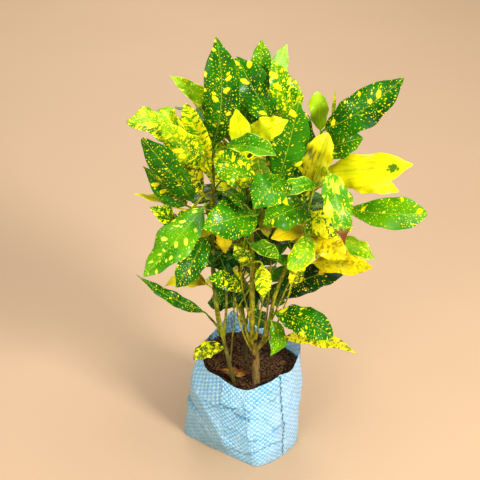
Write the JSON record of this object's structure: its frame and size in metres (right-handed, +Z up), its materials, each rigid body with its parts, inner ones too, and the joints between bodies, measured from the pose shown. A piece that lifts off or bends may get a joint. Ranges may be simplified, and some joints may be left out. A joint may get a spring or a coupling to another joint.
{
  "type": "potted croton plant",
  "caption": "Bushy house plant with glossy leaves, yellow spots and splashes over green, on slim woody stems rooted in soil in a woven grow bag.",
  "frame": {"origin": "on the bag's flat bottom, under the middle of its mouth, at the level of the surface it stands on", "axes": "+Z up along the stems, -Y towards the low front lip of the bag, +X to the right seen from there"},
  "size_m": [0.313, 0.2619, 0.53],
  "materials": {
    "bag_weave": "light blue and white checked weave of flat plastic tape, slightly shiny",
    "soil": "dark brown crumbly potting soil, moist and matt",
    "dry_leaf": "dry orange-brown leaf, matt and curled",
    "stem_green": "smooth olive green bark with leaf scars",
    "stem_bark": "grey-brown bark at the foot, olive above",
    "stem_olive": "dark olive bark",
    "leaf_splashed": "glossy green with big round yellow spots and fine dots",
    "leaf_dusted": "glossy deep green dusted with small yellow dots",
    "leaf_mottled": "glossy, yellow and green mottled all over",
    "leaf_gold": "glossy clear yellow with a few green marks",
    "leaf_striped": "glossy yellow with green stripes along the side veins",
    "leaf_lime": "glossy fresh light green",
    "leaf_dark": "glossy dark green with a few yellow patches"
  },
  "bodies": {
    "root": {"bag": "bag_weave", "soil": "soil", "fallen_leaf": "dry_leaf", "left_stem": "stem_green", "front_stem": "stem_bark", "back_stem": "stem_olive", "leaf_left_1": "leaf_splashed", "leaf_left_2": "leaf_mottled", "leaf_left_3": "leaf_mottled", "leaf_left_4": "leaf_striped", "leaf_left_5": "leaf_mottled", "leaf_left_6": "leaf_dusted", "leaf_left_7": "leaf_splashed", "leaf_left_8": "leaf_mottled", "leaf_left_9": "leaf_mottled", "leaf_left_10": "leaf_splashed", "leaf_left_11": "leaf_dusted", "leaf_left_12": "leaf_gold", "leaf_left_13": "leaf_dusted", "leaf_left_14": "leaf_dusted", "leaf_left_15": "leaf_gold", "leaf_centre_1": "leaf_splashed", "leaf_centre_2": "leaf_dusted", "leaf_centre_3": "leaf_lime", "leaf_centre_4": "leaf_striped", "leaf_centre_5": "leaf_gold", "leaf_centre_6": "leaf_gold", "leaf_centre_7": "leaf_lime", "leaf_centre_8": "leaf_dusted", "leaf_centre_9": "leaf_mottled", "leaf_centre_10": "leaf_lime", "leaf_centre_11": "leaf_splashed", "leaf_centre_12": "leaf_dusted", "leaf_centre_13": "leaf_gold", "leaf_centre_14": "leaf_striped", "leaf_centre_15": "leaf_striped", "leaf_centre_16": "leaf_mottled", "leaf_right_1": "leaf_lime", "leaf_right_2": "leaf_dusted", "leaf_right_3": "leaf_dusted", "leaf_right_4": "leaf_gold", "leaf_right_5": "leaf_gold", "leaf_right_6": "leaf_gold", "leaf_right_7": "leaf_dusted", "leaf_right_8": "leaf_striped", "leaf_right_9": "leaf_dusted", "leaf_right_10": "leaf_lime", "leaf_right_11": "leaf_gold", "leaf_right_12": "leaf_lime", "leaf_right_13": "leaf_gold", "leaf_right_14": "leaf_dark", "leaf_right_15": "leaf_dusted", "leaf_right_16": "leaf_striped", "leaf_low_1": "leaf_mottled", "leaf_low_2": "leaf_lime", "leaf_back_1": "leaf_splashed", "leaf_back_2": "leaf_dusted", "leaf_back_3": "leaf_dusted", "leaf_back_4": "leaf_splashed", "leaf_back_5": "leaf_mottled"}
  },
  "joints": []
}
